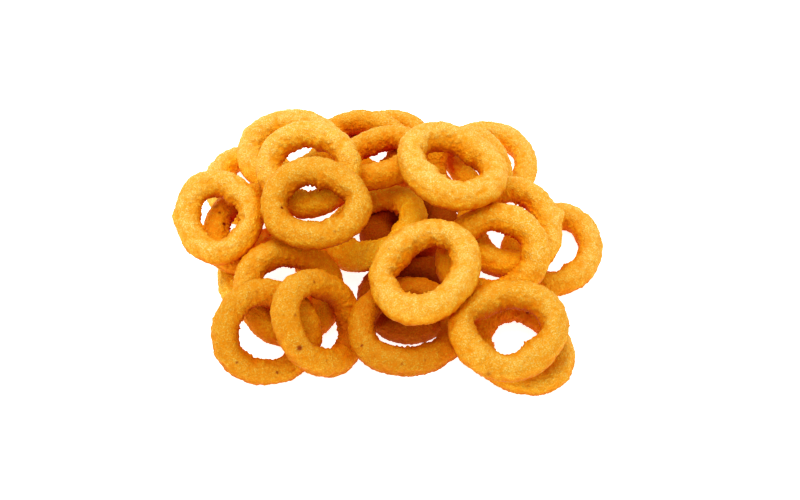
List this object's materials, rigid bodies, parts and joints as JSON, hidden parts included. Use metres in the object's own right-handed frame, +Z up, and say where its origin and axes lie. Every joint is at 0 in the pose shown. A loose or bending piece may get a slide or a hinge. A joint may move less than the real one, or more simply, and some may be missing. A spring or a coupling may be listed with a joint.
{
  "type": "onion rings side",
  "caption": "A loose heap of small breaded and fried onion rings with a golden crumb coat, lying as it would be tipped onto a table.",
  "frame": {"origin": "on the table under the middle of the heap's bounding box", "axes": "+Z up from the table; +X to the right along the heap's long side, as seen from its front; -Y towards the front"},
  "size_m": [0.196, 0.1724, 0.0577],
  "materials": {
    "crumb_pale": "matt fine crumb coat, light golden yellow",
    "crumb_golden": "matt fine crumb coat, golden",
    "crumb_deep": "matt fine crumb coat, deep golden orange"
  },
  "bodies": {
    "root": {"ring_front_under": "crumb_deep", "ring_left_under": "crumb_deep", "ring_back_left_low": "crumb_pale", "ring_right_end": "crumb_pale", "ring_front_right_low": "crumb_golden", "ring_back_right_low": "crumb_pale", "ring_back_middle_low": "crumb_golden", "ring_middle_under": "crumb_deep", "ring_left_second": "crumb_deep", "ring_left_third": "crumb_golden", "ring_front_left": "crumb_deep", "ring_front_left_leaning": "crumb_deep", "ring_front_middle": "crumb_deep", "ring_back_right_second": "crumb_pale", "ring_right_second": "crumb_pale", "ring_right_third": "crumb_golden", "ring_front_right": "crumb_golden", "ring_back_middle_second": "crumb_deep", "ring_middle_second": "crumb_deep", "ring_back_left_second": "crumb_pale", "ring_back_middle_third": "crumb_golden", "ring_left_end": "crumb_pale", "ring_back_left_third": "crumb_pale", "ring_left_top": "crumb_golden", "ring_back_right_top": "crumb_pale", "ring_front_middle_top": "crumb_pale"}
  },
  "joints": []
}
